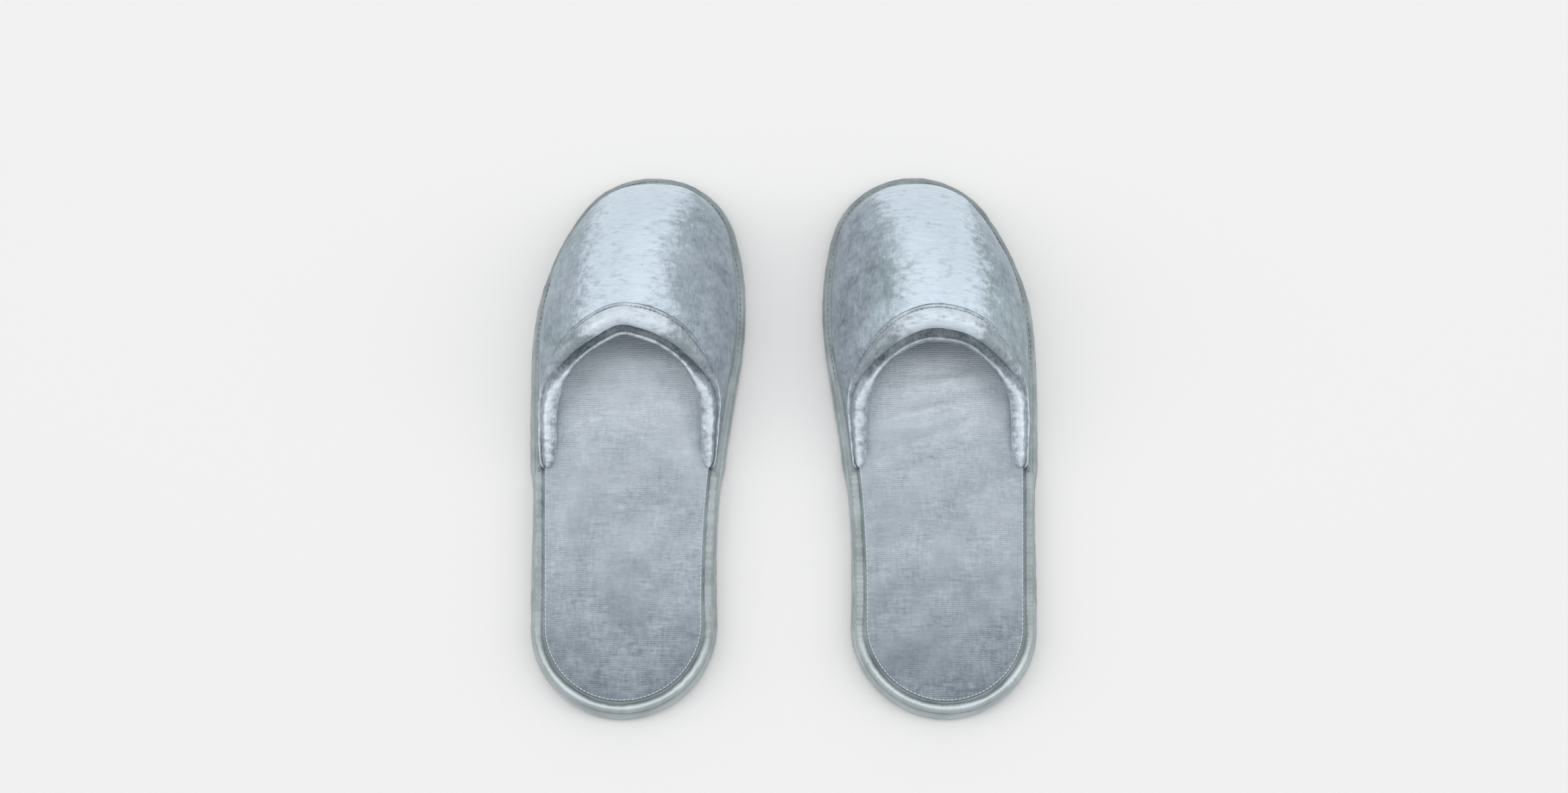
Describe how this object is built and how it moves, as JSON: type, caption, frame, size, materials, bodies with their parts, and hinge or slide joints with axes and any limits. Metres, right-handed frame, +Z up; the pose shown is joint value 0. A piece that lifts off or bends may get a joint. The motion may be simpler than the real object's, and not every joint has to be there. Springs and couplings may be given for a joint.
{
  "type": "pair of spa slippers",
  "caption": "Mirrored pair of closed-toe, open-heel spa slippers: padded velour upper with a rolled collar, terry footbed, bound edge and thin foam rubber sole.",
  "frame": {"origin": "on the floor, in the middle of the pair's bounding box", "axes": "+Y towards the toes, +Z up, +X towards the right slipper"},
  "size_m": [0.2556, 0.285, 0.0492],
  "materials": {
    "eva_sole": "matte foam rubber",
    "edge_cloth": "smooth satin binding cloth",
    "board": "pressed fibre board",
    "cushion": "soft open foam",
    "terry": "fine ribbed terry cloth",
    "filler": "soft round filler cord",
    "velour": "short brushed pile with a silvery sheen",
    "collar_cloth": "short brushed pile, padded",
    "padding": "thin soft foam",
    "lining": "plain woven lining",
    "thread": "fine sewing thread"
  },
  "bodies": {
    "left_front": {"left_outsole_front": "eva_sole", "left_side_band_front": "edge_cloth", "left_insole_board_front": "board", "left_cushion_foam_front": "cushion", "left_insole_cover_front": "terry", "left_edge_binding_front": "edge_cloth", "left_edge_cord_front": "filler", "left_vamp_shell": "velour", "left_vamp_padding": "padding", "left_vamp_lining": "lining", "left_collar_band": "velour", "left_collar_roll": "collar_cloth", "left_collar_cord": "filler", "left_bar_tacks": "thread", "left_sole_stitching_front": "thread", "left_toe_stitching": "thread", "left_collar_stitching": "thread"},
    "left_heel": {"left_outsole_heel": "eva_sole", "left_side_band_heel": "edge_cloth", "left_insole_board_heel": "board", "left_cushion_foam_heel": "cushion", "left_insole_cover_heel": "terry", "left_edge_binding_heel": "edge_cloth", "left_edge_cord_heel": "filler", "left_sole_stitching_heel": "thread"},
    "right_front": {"right_outsole_front": "eva_sole", "right_side_band_front": "edge_cloth", "right_insole_board_front": "board", "right_cushion_foam_front": "cushion", "right_insole_cover_front": "terry", "right_edge_binding_front": "edge_cloth", "right_edge_cord_front": "filler", "right_vamp_shell": "velour", "right_vamp_padding": "padding", "right_vamp_lining": "lining", "right_collar_band": "velour", "right_collar_roll": "collar_cloth", "right_collar_cord": "filler", "right_bar_tacks": "thread", "right_sole_stitching_front": "thread", "right_toe_stitching": "thread", "right_collar_stitching": "thread"},
    "right_heel": {"right_outsole_heel": "eva_sole", "right_side_band_heel": "edge_cloth", "right_insole_board_heel": "board", "right_cushion_foam_heel": "cushion", "right_insole_cover_heel": "terry", "right_edge_binding_heel": "edge_cloth", "right_edge_cord_heel": "filler", "right_sole_stitching_heel": "thread"}
  },
  "joints": [
    {"name": "left_sole_flex", "type": "hinge", "parent": "left_front", "child": "left_heel", "pos_m": [-0.0777, -0.0375, 0.013], "axis": [-1, 0, 0], "range_deg": [0, 50], "stiffness_Nm_per_rad": 0.15},
    {"name": "right_slipper_lift", "type": "slide", "parent": "left_front", "child": "right_front", "axis": [0, 0, 1], "range_m": [0, 0.15]},
    {"name": "right_sole_flex", "type": "hinge", "parent": "right_front", "child": "right_heel", "pos_m": [0.0777, -0.0375, 0.013], "axis": [-1, 0, 0], "range_deg": [0, 50], "stiffness_Nm_per_rad": 0.15}
  ]
}
